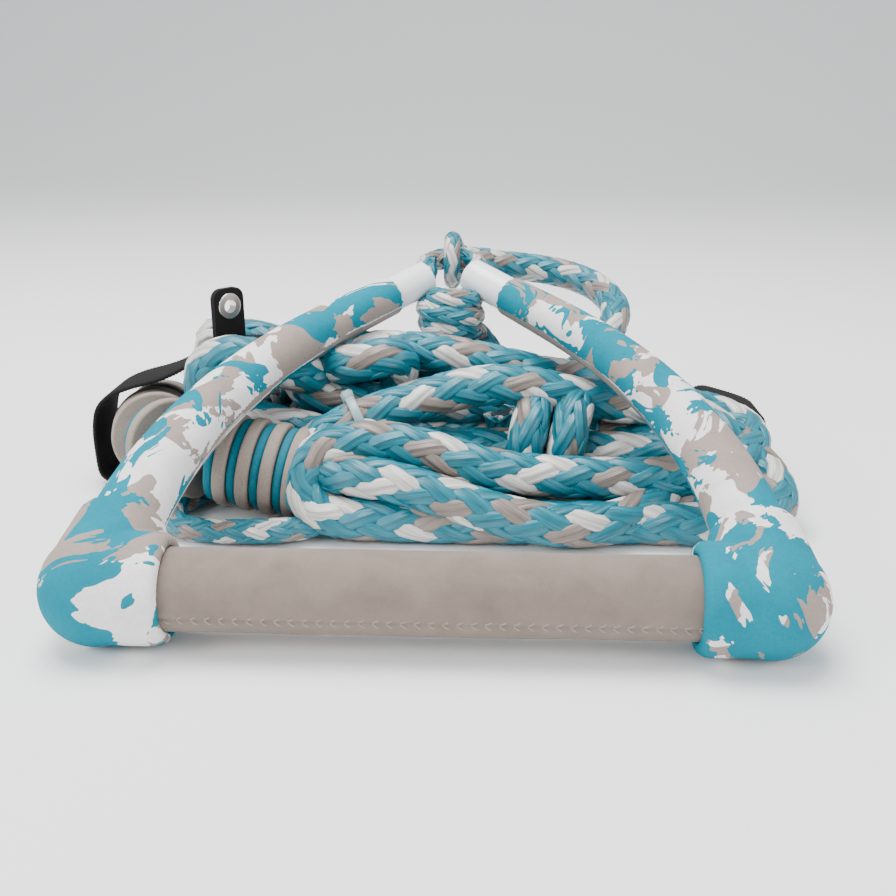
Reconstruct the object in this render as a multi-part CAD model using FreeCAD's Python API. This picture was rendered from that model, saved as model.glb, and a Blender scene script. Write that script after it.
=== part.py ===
"""Tow rope handle for wakesurfing: a V-shaped foam handle on its own bridle rope, tied to a bundled
braided tow rope with foam float discs, two webbing keeper straps and a hanging tab.
Millimetres, +X along the grip, +Y from the grip to the rope's end, +Z up, resting on z = 0."""

import FreeCAD, Part
import os
from math import atan2, cos, degrees, pi, radians, sin, sqrt, tan

V = FreeCAD.Vector
UP = V(0, 0, 1)

# --- the grip bar -------------------------------------------------------------------------------
GRIP_LENGTH = 203.0          # 8 in between the rims of the end caps
GRIP_RADIUS = 16.5
COVER_WALL = 1.0
BAR_RADIUS = 12.7            # 1 in tube
BAR_WALL = 1.6
COVER_IN_CAP = 9.0           # how far the cover runs into each cap
BAR_IN_CAP = 13.0
PLUG_DEPTH = 16.0
PLUG_FLANGE = 2.5
FIT = 0.15                   # clearance between pieces pushed into each other
OVER = 1.0                   # cuts run this far past the face they open

# --- end caps, arms and apex ----------------------------------------------------------------------
CAP_X = 130.0                # from the middle of the grip to the middle of a cap
CAP_RADIUS = 23.0
RIM_RADIUS = 22.3
RIM_ROUND = 4.5
CAP_ARM_REACH = 34.0         # how far a cap runs up its arm
CAP_ARM_RADIUS = 18.6
COLLAR_STEP = 0.4            # the collar starts this much inside the bulb
SLEEVE_IN_CAP = 20.0
CAP_WALK = 15.0              # bend radius of the bridle rope inside a cap
HANDLE_TILT = radians(21)    # the apex lies on the rope bundle
ARM_CURVE = 245.0
ARM_TURN = radians(45)
ARM_STRAIGHT = 62.0
SLEEVE_RADIUS = 16.0         # at the cap
SLEEVE_TIP_RADIUS = 10.6
TUBE_RADIUS = 9.5
TUBE_WALL = 2.2
TUBE_SHOWS = 25.0
TUBE_HIDDEN = 27.0
BRIDLE_RADIUS = 5.0
APEX_FLARE = radians(40)     # how far the bridle rope turns out as it leaves a tube
APEX_FLARE_CURVE = 10.0

# --- the tow rope -----------------------------------------------------------------------------------
EYE_ROPE_RADIUS = 4.2
EYE_SLACK = 1.4              # room between the eye and the bridle rope
SPLICE_RADIUS = 9.5
SPLICE_LENGTH = 17.0
SPLICE_ROUND = 2.5
LEAD_RADIUS = 8.0
FLOAT_ROPE_RADIUS = 6.5
UNDER_ROPE_RADIUS = 6.0
GAP = 0.3                    # soft pieces stay this far apart
TALL = 200.0                 # higher than anything on the bundle

# --- the hank, as the closed shape round its turns ------------------------------------------------
HANK_PLAN = ((-62, 86), (128, 86), (160, 110), (174, 146), (174, 196), (144, 246), (-62, 246))
HANK_X = (HANK_PLAN[0][0], HANK_PLAN[3][0])
HANK_SIDE = ((86, 0), (86, 24), (100, 42), (132, 54), (176, 74), (204, 74), (236, 52), (246, 30), (246, 0))
HANK_LEFT_X = -118.0
HANK_LEFT_SIDE = ((160, 0), (160, 50), (172, 69), (206, 73.6), (238, 52), (254, 26), (254, 0))
RIGHT_END_HEIGHT = 44.0      # the turns at the right end lie lower
RIGHT_END_X = 128.0
RIGHT_SLOPE_X = 84.0
RIGHT_SLOPE_TOP = 90.0
RIGHT_FALL = 16.0            # from there to the end

# --- float discs ----------------------------------------------------------------------------------
DISC_RADIUS = 23.4
TEAL_RADIUS = 21.8
GREY_THICK = 6.4
TEAL_THICK = 4.8
DISC_ROUND = 1.6
DISC_PLAY = 0.9              # room between a disc and its rope
DISC_AT = (10.5, 22.1, 33.7, 45.2, 63.4, 85.0, 105.8, 119.0, 133.6, 154.8)   # along their rope

# --- keeper straps and the hanging tab --------------------------------------------------------------
STRAP_THICK = 1.8
LEFT_STRAP_Y = (165.0, 201.0)
LEFT_STRAP = ((-192, 0), (-192, 32), (-189, 46), (-175, 55), (-150, 61), (-124, 76), (-98, 76), (-66, 60),
              (HANK_X[0] - GAP, 58), (HANK_X[0] - GAP, 0))
RIGHT_STRAP_Y = (197.0, 227.0)
RIGHT_STRAP = ((137, 0), (137, 45), (150, 41.6), (172, 35.2), (HANK_X[1] + 2.1, 32), (HANK_X[1] + 2.1, 0))
TAB_X = -118.0
TAB_WIDTH = 19.0
TAB_HEIGHT = 30.0
TAB_THICK = 3.2
TAB_TWIST = 50.0             # degrees; the tab stands turned on the strap, its eyelet to the front right
EYELET_HOLE = 3.6
EYELET_RADIUS = 7.0
EYELET_LIP = 0.9
TIE_WIDTH = 4.6
TIE_THICK = 1.4
TIE_X = -61.0
TIE_HEAD = 6.4
KNOT_RADIUS = 15.0
KNOT_HEIGHT = 16.0
KNOT_AT = (4.0, 206.0)

# Hand-laid routes of the free rope; each lies on the bundle or on the ground.
LEAD_POINTS = ((18, 254, 108), (48, 264, 105), (80, 252, 99), (94, 224, 90), (86, 196, 82.4))
FLOAT_POINTS = ((-63.7, 120, 24.4), (-127, 127, 34.6), (-150, 146, 34), (-165, 190, 26),
                (-160, 220, 26), (-143, 239, 20), (-121.5, 243, 14))
UNDER_POINTS = ((-62.4, 92, 8.6), (-95, 90, 7), (-126, 94, 6.2), (-138, 114, 6.2), (-130, 136, 6.2),
                (-115, 157.4, 7.4))


def corner_arc(before, corner, after, room):
    """The arc tangent to both runs at a corner, which uses up room along each of them."""
    back = (before - corner).normalize() * room
    on = (after - corner).normalize() * room
    start, end = corner + back, corner + on
    half = (pi - back.getAngle(on)) / 2
    radius = room / tan(half)
    middle = corner + (back + on).normalize() * (sqrt(radius ** 2 + room ** 2) - radius)
    return Part.Arc(start, middle, end), radius


def route(points, share=0.45, radii=None):
    """A wire of straight runs joined by tangent arcs, each as large as its two runs allow."""
    points = [V(*p) for p in points]
    edges, here = [], points[0]
    for before, corner, after in zip(points, points[1:], points[2:]):
        room = share * min((corner - before).Length, (after - corner).Length)
        arc, radius = corner_arc(before, corner, after, room)
        edges += [Part.LineSegment(here, arc.StartPoint).toShape(), arc.toShape()]
        here = arc.EndPoint
        if radii is not None:
            radii.append(radius)
    edges.append(Part.LineSegment(here, points[-1]).toShape())
    return Part.Wire(edges)


def swept(wire, radius):
    """A solid round rod along a wire."""
    first = wire.Edges[0]
    ring = Part.Wire(Part.makeCircle(radius, first.valueAt(first.FirstParameter),
                                     first.tangentAt(first.FirstParameter)))
    return wire.makePipeShell([ring], True, False)


def at_length(wire, length):
    """The point and the direction of a wire at a length along it."""
    for edge in wire.Edges:
        if length <= edge.Length:
            here = edge.getParameterByLength(length)
            return edge.valueAt(here), edge.tangentAt(here)
        length -= edge.Length
    return edge.valueAt(edge.LastParameter), edge.tangentAt(edge.LastParameter)


def handle_point(x, s):
    """A point of the tilted handle plane, s along it from the grip's axis."""
    return V(x, s * cos(HANDLE_TILT), CAP_RADIUS + s * sin(HANDLE_TILT))


def handle_direction(x, s):
    return V(x, s * cos(HANDLE_TILT), s * sin(HANDLE_TILT))


def arm_point(side, length):
    """The point of an arm's centreline at a length from the grip's axis, and its direction."""
    turn = min(max(0.0, length - CAP_WALK) / ARM_CURVE, ARM_TURN)
    beyond = max(0.0, length - CAP_WALK - ARM_CURVE * ARM_TURN)
    x = CAP_X - ARM_CURVE * (1 - cos(turn)) - beyond * sin(turn)
    s = min(length, CAP_WALK) + ARM_CURVE * sin(turn) + beyond * cos(turn)
    return handle_point(side * x, s), handle_direction(-side * sin(turn), cos(turn))


ARM_LENGTH = CAP_WALK + ARM_CURVE * ARM_TURN + ARM_STRAIGHT
SLEEVE_END = ARM_LENGTH - TUBE_SHOWS


def arm_wire(side, start, end):
    """The arm's centreline from one length to another, as an arc and a straight run."""
    curve_end = CAP_WALK + ARM_CURVE * ARM_TURN
    a, b, c = (arm_point(side, at)[0] for at in (start, (start + curve_end) / 2, curve_end))
    bend = Part.Arc(a, b, c).toShape()
    return Part.Wire([bend, Part.LineSegment(c, arm_point(side, end)[0]).toShape()])


def tapered_arm(side, start, end, radius_at, steps=7):
    """A solid lofted through round sections along an arm."""
    rings, normal = [], V(0, -sin(HANDLE_TILT), cos(HANDLE_TILT))
    for i in range(steps):
        at = start + (end - start) * i / (steps - 1)
        point, direction = arm_point(side, at)
        ring = Part.makeCircle(radius_at(at))
        facing = FreeCAD.Rotation(normal, direction.cross(normal), direction, "ZXY")
        ring.Placement = FreeCAD.Placement(point, facing)
        rings.append(Part.Wire(ring))
    return Part.makeLoft(rings, True, False)


def along_x(radius, start, end, side=1):
    """A cylinder round the grip's axis from one x to another, mirrored for the left side."""
    low, high = sorted((side * start, side * end))
    return Part.makeCylinder(radius, high - low, V(low, 0, CAP_RADIUS), V(1, 0, 0))


def make_grip():
    cover_end = GRIP_LENGTH / 2 + COVER_IN_CAP
    bar_end = GRIP_LENGTH / 2 + BAR_IN_CAP
    foam_radius = GRIP_RADIUS - COVER_WALL
    cover = along_x(GRIP_RADIUS, -cover_end, cover_end).cut(along_x(foam_radius, -cover_end, cover_end))
    foam = along_x(foam_radius, -cover_end, cover_end).cut(along_x(BAR_RADIUS, -cover_end, cover_end))
    bore = BAR_RADIUS - BAR_WALL
    bar = along_x(BAR_RADIUS, -bar_end, bar_end).cut(along_x(bore, -bar_end, bar_end))
    return {"grip_cover": cover, "grip_foam": foam, "bar_tube": bar}


def make_plug(side):
    """A nylon plug in the end of the bar, with a rounded hole for the bridle rope."""
    bar_end = GRIP_LENGTH / 2 + BAR_IN_CAP
    body = along_x(BAR_RADIUS - BAR_WALL, bar_end - PLUG_DEPTH, bar_end, side)
    body = body.fuse(along_x(BAR_RADIUS, bar_end, bar_end + PLUG_FLANGE, side)).removeSplitter()
    return body.cut(along_x(BRIDLE_RADIUS + FIT, bar_end - PLUG_DEPTH, bar_end + PLUG_FLANGE, side))


MOUTH_X = CAP_X - ARM_CURVE * (1 - cos(ARM_TURN)) - ARM_STRAIGHT * sin(ARM_TURN)
MOUTH_S = CAP_WALK + ARM_CURVE * sin(ARM_TURN) + ARM_STRAIGHT * cos(ARM_TURN)
MOUTH_HEADING = pi / 2 - ARM_TURN


def flare_point(side, turned):
    """A point of the outward bend of the bridle rope past a tube's mouth, after some of its turn."""
    heading = MOUTH_HEADING + turned
    return handle_point(side * (MOUTH_X - APEX_FLARE_CURVE * (sin(heading) - sin(MOUTH_HEADING))),
                        MOUTH_S + APEX_FLARE_CURVE * (cos(MOUTH_HEADING) - cos(heading)))


APEX_CURVE = flare_point(1, APEX_FLARE).x / sin(MOUTH_HEADING + APEX_FLARE)
APEX = flare_point(1, APEX_FLARE) + handle_direction(0, APEX_CURVE * (1 - cos(MOUTH_HEADING + APEX_FLARE)))
APEX.x = 0.0                            # the hinge of the handle on the tow rope


def bridle_corner(side):
    """The bend of the bridle rope inside a cap."""
    inner, bend = CAP_X - CAP_WALK, CAP_WALK * sin(pi / 4)
    return Part.Arc(handle_point(side * inner, 0), handle_point(side * (inner + bend), CAP_WALK - bend),
                    handle_point(side * CAP_X, CAP_WALK)).toShape()


def bridle_wire():
    """The closed loop of the bridle rope: through the bar, the caps and the arms, and round the apex."""
    inner = CAP_X - CAP_WALK
    edges = [Part.LineSegment(handle_point(-inner, 0), handle_point(inner, 0)).toShape()]
    ends = [flare_point(side, APEX_FLARE) for side in (1, -1)]
    edges.append(Part.Arc(ends[0], APEX, ends[1]).toShape())
    for side, end in zip((1, -1), ends):
        mouth, middle = flare_point(side, 0), flare_point(side, APEX_FLARE / 2)
        edges += [bridle_corner(side)] + arm_wire(side, CAP_WALK, ARM_LENGTH).Edges
        edges.append(Part.Arc(mouth, middle, end).toShape())
    return Part.Wire(Part.__sortEdges__(edges))


def make_cap(side):
    """A moulded foam elbow: a rounded bulb with a lipped socket for the grip and a collar up the arm."""
    rim = GRIP_LENGTH / 2
    body = along_x(RIM_RADIUS, rim, CAP_X, side)
    lip = [e for e in body.Edges if abs(e.CenterOfMass.x - side * rim) < 0.1 and e.Curve.TypeId
           == "Part::GeomCircle"]
    body = body.makeFillet(RIM_ROUND, lip)
    bulb = Part.makeSphere(CAP_RADIUS, handle_point(side * CAP_X, 0))
    foot, direction = arm_point(side, 0)
    collar = Part.makeCone(CAP_RADIUS - COLLAR_STEP, CAP_ARM_RADIUS, CAP_ARM_REACH, foot, direction)
    body = body.fuse(bulb).fuse(collar).removeSplitter()
    bar_end = GRIP_LENGTH / 2 + BAR_IN_CAP
    hollows = [
        along_x(GRIP_RADIUS + FIT, rim - OVER, rim + COVER_IN_CAP, side),
        along_x(BAR_RADIUS + FIT, rim - OVER, bar_end + PLUG_FLANGE, side),
        along_x(BRIDLE_RADIUS + FIT, bar_end, CAP_X - CAP_WALK + OVER, side),
        tapered_arm(side, CAP_ARM_REACH - SLEEVE_IN_CAP, CAP_ARM_REACH + 2 * OVER,
                    lambda at: sleeve_radius(at) + FIT, 3),
        swept(Part.Wire([bridle_corner(side)]), BRIDLE_RADIUS + FIT),
    ]
    for hollow in hollows:
        body = body.cut(hollow)
    return body


def sleeve_radius(at):
    """The foam arm tapers evenly from the cap to its tip."""
    start = CAP_ARM_REACH - SLEEVE_IN_CAP
    return SLEEVE_RADIUS + (SLEEVE_TIP_RADIUS - SLEEVE_RADIUS) * (at - start) / (SLEEVE_END - start)


def make_arm(side):
    """The foam sleeve of an arm, bored for the bridle rope and for the plastic tube at its tip."""
    start = CAP_ARM_REACH - SLEEVE_IN_CAP
    sleeve = tapered_arm(side, start, SLEEVE_END, sleeve_radius)
    tube_start = ARM_LENGTH - TUBE_SHOWS - TUBE_HIDDEN
    foot, direction = arm_point(side, tube_start)
    tube_room = Part.makeCylinder(TUBE_RADIUS + FIT, TUBE_HIDDEN + 5 * OVER, foot, direction)
    rope_room = swept(arm_wire(side, CAP_WALK, ARM_LENGTH), BRIDLE_RADIUS + FIT)
    rope_start = Part.makeCylinder(BRIDLE_RADIUS + FIT, CAP_WALK / 2, arm_point(side, CAP_WALK / 2)[0],
                                   handle_direction(0, 1))
    sleeve = sleeve.cut(tube_room).cut(rope_room).cut(rope_start)
    length = TUBE_SHOWS + TUBE_HIDDEN
    tube = Part.makeCylinder(TUBE_RADIUS, length, foot, direction)
    lip = [e for e in tube.Edges if (e.CenterOfMass - foot).Length > length - 1]
    tube = tube.makeFillet(TUBE_WALL * 0.45, lip)
    tube = tube.cut(Part.makeCylinder(TUBE_RADIUS - TUBE_WALL, length, foot, direction))
    return sleeve, tube


def make_handle():
    nodes = make_grip()
    nodes["bar_plug_left"], nodes["end_cap_left"] = make_plug(-1), make_cap(-1)
    nodes["arm_sleeve_left"], nodes["tube_left"] = make_arm(-1)
    for name in ("bar_plug", "end_cap", "arm_sleeve", "tube"):
        nodes[f"{name}_right"] = nodes[f"{name}_left"].mirror(V(0, 0, 0), V(1, 0, 0))
    nodes["bridle_rope"] = swept(bridle_wire(), BRIDLE_RADIUS)
    return nodes


def loaf(side_view, plan):
    """A closed solid with one outline from the side, in Y and Z, and another from above, in X and Y."""
    low, high = min(x for x, y in plan), max(x for x, y in plan)
    points = [V(low, y, z) for y, z in side_view]
    body = Part.Face(Part.makePolygon(points + points[:1])).extrude(V(high - low, 0, 0))
    corners = [V(x, y, -OVER) for x, y in plan]
    prism = Part.Face(Part.makePolygon(corners + corners[:1])).extrude(V(0, 0, TALL))
    return body.common(prism)


def band(outline, low, high, inside, outside=0.0):
    """A closed upright band between two y values, walled inside and outside its outline in X and Z."""
    wire = Part.makePolygon([V(x, low, z) for x, z in outline + outline[:1]])
    outer = Part.Face(wire.makeOffset2D(outside) if outside else wire)
    return outer.cut(Part.Face(wire.makeOffset2D(-inside))).extrude(V(0, high - low, 0))


def make_disc(radius, thick, point, direction, hole):
    """A foam disc with rounded rims, bored for the rope."""
    disc = Part.makeCylinder(radius, thick, point - direction * (thick / 2), direction)
    rims = [e for e in disc.Edges if e.Length > radius * 5]
    disc = disc.makeFillet(DISC_ROUND, [e for e in rims if e.Curve.TypeId == "Part::GeomCircle"])
    return disc.cut(Part.makeCylinder(hole, thick * 3, point - direction * (thick * 1.5), direction))


def make_floats():
    """The float discs along their rope: each a grey disc with a thinner teal one bonded to it."""
    wire = route(FLOAT_POINTS)
    nodes, places = {}, []
    for number, at in enumerate(DISC_AT, 1):
        point, direction = at_length(wire, at)
        places.append((point, direction))
        grey = point - direction * (TEAL_THICK / 2)
        teal = point + direction * (GREY_THICK / 2)
        hole = FLOAT_ROPE_RADIUS + DISC_PLAY
        nodes[f"float_{number:02d}_grey"] = make_disc(DISC_RADIUS, GREY_THICK, grey, direction, hole)
        nodes[f"float_{number:02d}_teal"] = make_disc(TEAL_RADIUS, TEAL_THICK, teal, direction, hole)
    nodes["float_rope"] = swept(wire, FLOAT_ROPE_RADIUS)
    return nodes, places


def make_eye():
    """The eye of the tow rope, linked round the bridle rope, and the splice that closes it."""
    radius = BRIDLE_RADIUS + EYE_ROPE_RADIUS + EYE_SLACK
    eye = Part.makeTorus(radius, EYE_ROPE_RADIUS, APEX, V(1, 0, 0))
    end = V(*LEAD_POINTS[0])
    direction = (V(*LEAD_POINTS[1]) - end).normalize()
    splice = Part.makeCylinder(SPLICE_RADIUS, SPLICE_LENGTH, end - direction * SPLICE_LENGTH, direction)
    rims = [e for e in splice.Edges if e.Curve.TypeId == "Part::GeomCircle"]
    splice = splice.makeFillet(SPLICE_ROUND, rims)
    return {"rope_eye": eye, "rope_splice": splice.cut(eye)}


def make_knot():
    """The round turns of rope under the apex, which the handle's ropes are hitched with."""
    knot = Part.makeCylinder(KNOT_RADIUS, KNOT_HEIGHT, V(*KNOT_AT, hank_top(KNOT_AT[1] - KNOT_RADIUS) + GAP))
    return knot.makeFillet(KNOT_HEIGHT * 0.46, [e for e in knot.Edges if e.Closed])


def hank_top(y):
    """The height of the hank's upper side at a distance from the grip."""
    for (y0, z0), (y1, z1) in zip(HANK_SIDE[1:], HANK_SIDE[2:]):
        if y0 <= y <= y1:
            return z0 + (z1 - z0) * (y - y0) / (y1 - y0)
    raise ValueError(y)


def make_hanks():
    """The bundled turns of the tow rope, as the closed outer shape of each of its two parts."""
    right = loaf(HANK_SIDE, HANK_PLAN)
    beyond = HANK_X[1] + 9
    slope = [V(RIGHT_SLOPE_X, 0, RIGHT_SLOPE_TOP), V(RIGHT_END_X, 0, RIGHT_END_HEIGHT),
             V(beyond, 0, RIGHT_END_HEIGHT - RIGHT_FALL), V(beyond, 0, RIGHT_SLOPE_TOP)]
    right = right.cut(Part.Face(Part.makePolygon(slope + slope[:1])).extrude(V(0, 2 * TALL, 0)))
    right = right.cut(band(RIGHT_STRAP, RIGHT_STRAP_Y[0] - GAP, RIGHT_STRAP_Y[1] + GAP,
                           STRAP_THICK + GAP, GAP))

    low, high = HANK_LEFT_X, HANK_X[0] - 2 * GAP - STRAP_THICK
    front, back = HANK_LEFT_SIDE[0][0], HANK_LEFT_SIDE[-1][0]
    plan = ((low, front), (high, front), (high, back), (low, back))
    left = loaf(HANK_LEFT_SIDE, plan)
    under = Part.makePolygon([V(x, 0, z) for x, z in LEFT_STRAP + LEFT_STRAP[:1]])
    under = Part.Face(under.makeOffset2D(-STRAP_THICK - GAP)).extrude(V(0, 2 * TALL, 0))
    lowered = under.copy()
    lowered.translate(V(0, 0, -STRAP_THICK - GAP))
    left = left.common(under.fuse(lowered))
    room = Part.makeBox(high - low, LEFT_STRAP_Y[1] - LEFT_STRAP_Y[0] + 2 * GAP, STRAP_THICK + GAP,
                        V(low, LEFT_STRAP_Y[0] - GAP, 0))
    return right, left.cut(room)


def make_tab():
    """The hanging tab: folded webbing that stands on the left strap, with a nickel eyelet."""
    middle_y = sum(LEFT_STRAP_Y) / 2
    foot = V(TAB_X, middle_y, max(z for x, z in LEFT_STRAP) + GAP)
    tab = Part.makeBox(TAB_WIDTH, TAB_THICK, TAB_HEIGHT,
                       foot - V(TAB_WIDTH / 2, TAB_THICK / 2, 0))
    top = [e for e in tab.Edges if abs(e.CenterOfMass.z - foot.z - TAB_HEIGHT) < 0.1
           and abs(e.CenterOfMass.x - foot.x) > 1]
    tab = tab.makeFillet(TAB_WIDTH * 0.3, top)
    foot_edges = [e for e in tab.Edges if abs(e.CenterOfMass.z - foot.z) < 0.1 and e.Length > TAB_WIDTH * 0.9]
    tab = tab.makeFillet(TAB_THICK * 0.4, foot_edges)
    eye = foot + UP * (TAB_HEIGHT - TAB_WIDTH / 2)
    through = V(0, 1, 0)
    barrel_radius = EYELET_HOLE + 1
    half = TAB_THICK / 2

    def round_bar(radius, start, end):
        return Part.makeCylinder(radius, end - start, eye + through * start, through)

    tab = tab.cut(round_bar(barrel_radius + FIT, -half - 1, half + 1))
    front = round_bar(EYELET_RADIUS, -half - EYELET_LIP, -half)
    rim = [e for e in front.Edges if e.Closed and e.CenterOfMass.y < eye.y - half - EYELET_LIP / 2]
    front = front.makeFillet(EYELET_LIP * 0.6, rim)
    grommet = front.fuse(round_bar(barrel_radius, -half - EYELET_LIP / 2, half + EYELET_LIP))
    grommet = grommet.cut(round_bar(EYELET_HOLE, -10, 10))
    washer = round_bar(EYELET_RADIUS, half, half + EYELET_LIP)
    washer = washer.cut(round_bar(barrel_radius + FIT / 3, -10, 10))
    pieces = {"tab_webbing": tab, "eyelet": grommet, "eyelet_washer": washer}
    for piece in pieces.values():
        piece.rotate(foot, UP, TAB_TWIST)
    return pieces, foot, eye


def make_tie():
    """A cable tie drawn round the front turns: the stretch of strap that shows, and its head."""
    (y0, z0), (y1, z1) = HANK_SIDE[2], HANK_SIDE[3]
    strap = Part.makeBox(TIE_WIDTH, y1 - y0 - TIE_WIDTH, TIE_THICK)
    head = Part.makeBox(TIE_HEAD, TIE_HEAD, TIE_HEAD * 0.8, V(-TIE_HEAD / 2 + TIE_WIDTH / 2, 0, 0))
    tie = strap.fuse(head).removeSplitter()
    tie.rotate(V(0, 0, 0), V(1, 0, 0), degrees(atan2(z1 - z0, y1 - y0)))
    tie.translate(V(TIE_X, y0 + 1, z0 + GAP + (z1 - z0) / (y1 - y0)))
    return tie


def save(name, shape):
    shape.exportStep(f"parts/{name}.step")


def main():
    os.makedirs("parts", exist_ok=True)
    nodes = make_handle()
    floats, places = make_floats()
    nodes.update(floats)
    nodes.update(make_eye())
    radii = {}
    for name, points, radius in (("rope_lead", LEAD_POINTS, LEAD_RADIUS),
                                 ("rope_under", UNDER_POINTS, UNDER_ROPE_RADIUS)):
        radii[name] = []
        nodes[name] = swept(route(points, radii=radii[name]), radius)
    radii["float_rope"] = []
    route(FLOAT_POINTS, radii=radii["float_rope"])
    nodes["rope_knot"] = make_knot()
    nodes["rope_hank"], nodes["rope_hank_left"] = make_hanks()
    nodes["keeper_strap_left"] = band(LEFT_STRAP, *LEFT_STRAP_Y, STRAP_THICK)
    nodes["keeper_strap_right"] = band(RIGHT_STRAP, *RIGHT_STRAP_Y, STRAP_THICK)
    tab, foot, eye = make_tab()
    nodes.update(tab)
    nodes["cable_tie"] = make_tie()

    origin = V(0, (APEX.y + BRIDLE_RADIUS - CAP_RADIUS) / 2, 0)
    print("apex", APEX - origin, "grip", V(0, 0, CAP_RADIUS) - origin)
    print("tab foot", foot - origin, "eyelet", eye - origin)
    for name, found in radii.items():
        print(name, "bend radii", [round(r, 1) for r in found])
    for number, (point, direction) in enumerate(places, 1):
        print("float", number, point - origin, direction)
    for name, shape in nodes.items():
        shape.translate(-origin)
        save(name, shape)


main()
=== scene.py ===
"""Tow rope handle: the V-shaped foam handle, its bundled braided rope, the foam floats, the webbing
straps and the hanging tab, each as a finished piece that rides on the body that carries it."""
from math import atan2, cos, exp, pi, radians, sin

import bmesh
import bpy
from mathutils import Matrix, Vector, noise


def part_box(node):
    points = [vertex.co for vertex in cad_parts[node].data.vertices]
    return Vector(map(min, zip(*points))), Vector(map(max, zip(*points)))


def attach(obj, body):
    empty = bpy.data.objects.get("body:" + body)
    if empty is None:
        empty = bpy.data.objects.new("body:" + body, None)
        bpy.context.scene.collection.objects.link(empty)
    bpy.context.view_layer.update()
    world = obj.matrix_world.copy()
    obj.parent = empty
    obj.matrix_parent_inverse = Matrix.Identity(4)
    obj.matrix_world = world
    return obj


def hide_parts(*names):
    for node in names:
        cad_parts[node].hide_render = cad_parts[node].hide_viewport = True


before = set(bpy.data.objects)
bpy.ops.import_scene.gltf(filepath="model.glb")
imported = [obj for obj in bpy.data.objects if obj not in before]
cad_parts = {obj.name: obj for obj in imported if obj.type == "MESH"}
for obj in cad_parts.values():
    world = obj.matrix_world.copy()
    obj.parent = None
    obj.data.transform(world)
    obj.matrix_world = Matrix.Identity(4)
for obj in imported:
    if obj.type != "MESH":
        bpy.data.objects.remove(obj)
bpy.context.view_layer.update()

# ---------------------------------------------------------------------------------------------
# Camera, floor and studio light. The camera stands low in front of the grip and looks slightly
# down over it at the bundle. The pale floor curves up far behind; the lamps are large and soft.
MM = 0.001
grip_low, grip_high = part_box("grip_cover")
GRIP_Y = (grip_low[1] + grip_high[1]) / 2
AXIS_HEIGHT = 23.0


def place(x, y, z):
    """A point in millimetres from the floor under the middle of the grip, as a place in metres."""
    return Vector((x * MM, GRIP_Y + y * MM, z * MM))


def linked(name, data):
    """A new object in the scene."""
    thing = bpy.data.objects.new(name, data)
    bpy.context.scene.collection.objects.link(thing)
    return thing


camera = linked("camera", bpy.data.cameras.new("camera"))
camera.data.lens = 42.2
camera.data.sensor_width = 36
camera.data.clip_start = 0.01
camera.location = place(21.5, -364.2, 212)
camera.rotation_euler = (pi / 2 - radians(19.5), 0, radians(2.3))
bpy.context.scene.camera = camera

FLOOR_FRONT, COVE_START, COVE_RADIUS, COVE_TOP, HALF_WIDTH = -3.0, 1.6, 1.4, 4.0, 5.0
COVE_STEPS = 12
cove_turn = pi / 2 / COVE_STEPS
profile = [(FLOOR_FRONT, 0.0), (COVE_START, 0.0)]
profile += [(COVE_START + COVE_RADIUS * sin(cove_turn * i), COVE_RADIUS * (1 - cos(cove_turn * i)))
            for i in range(1, COVE_STEPS + 1)]
profile.append((COVE_START + COVE_RADIUS, COVE_TOP))
floor_points = [(x, y, z) for y, z in profile for x in (-HALF_WIDTH, HALF_WIDTH)]
floor_faces = [(2 * i, 2 * i + 1, 2 * i + 3, 2 * i + 2) for i in range(len(profile) - 1)]
floor_mesh = bpy.data.meshes.new("studio_floor")
floor_mesh.from_pydata(floor_points, [], floor_faces)
floor_mesh.shade_smooth()
studio_floor = linked("studio_floor", floor_mesh)


LAMPS_FACE = Vector((0, 0, 0.03))


def soft_panel(name, energy, size, spot):
    """A square area lamp that faces the middle of the object."""
    lamp = bpy.data.lights.new(name, "AREA")
    lamp.energy, lamp.size = energy, size
    panel = linked(name, lamp)
    panel.location = spot
    panel.rotation_euler = (LAMPS_FACE - panel.location).to_track_quat("-Z", "Y").to_euler()


soft_panel("top_panel", 34, 0.9, Vector((-0.2, 0.15, 1.3)))
soft_panel("left_panel", 15, 0.7, Vector((-1.1, -0.9, 0.8)))
soft_panel("right_panel", 9, 0.7, Vector((1.2, -0.7, 0.7)))
world = bpy.data.worlds.new("studio")
world.use_nodes = True
sky = world.node_tree.nodes["Background"].inputs
sky["Color"].default_value = (0.95, 0.97, 1, 1)
sky["Strength"].default_value = 0.8
bpy.context.scene.world = world


class Value:
    """A socket of a node tree under construction; + - * / on it add Math nodes."""

    def __init__(self, tree, socket):
        self.tree, self.socket = tree, socket

    def math(self, operation, *others):
        inputs = {number: other for number, other in enumerate((self, *others))}
        return self.tree.add("ShaderNodeMath", {"operation": operation}, inputs)

    def __add__(self, other):
        return self.math("ADD", other)

    def __sub__(self, other):
        return self.math("SUBTRACT", other)

    def __rsub__(self, other):
        return self.tree.add("ShaderNodeMath", {"operation": "SUBTRACT"}, {0: other, 1: self})

    def __mul__(self, other):
        return self.math("MULTIPLY", other)

    def __truediv__(self, other):
        return self.math("DIVIDE", other)

    __radd__, __rmul__ = __add__, __mul__

    def above(self, limit):
        return self.math("GREATER_THAN", limit)


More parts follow.
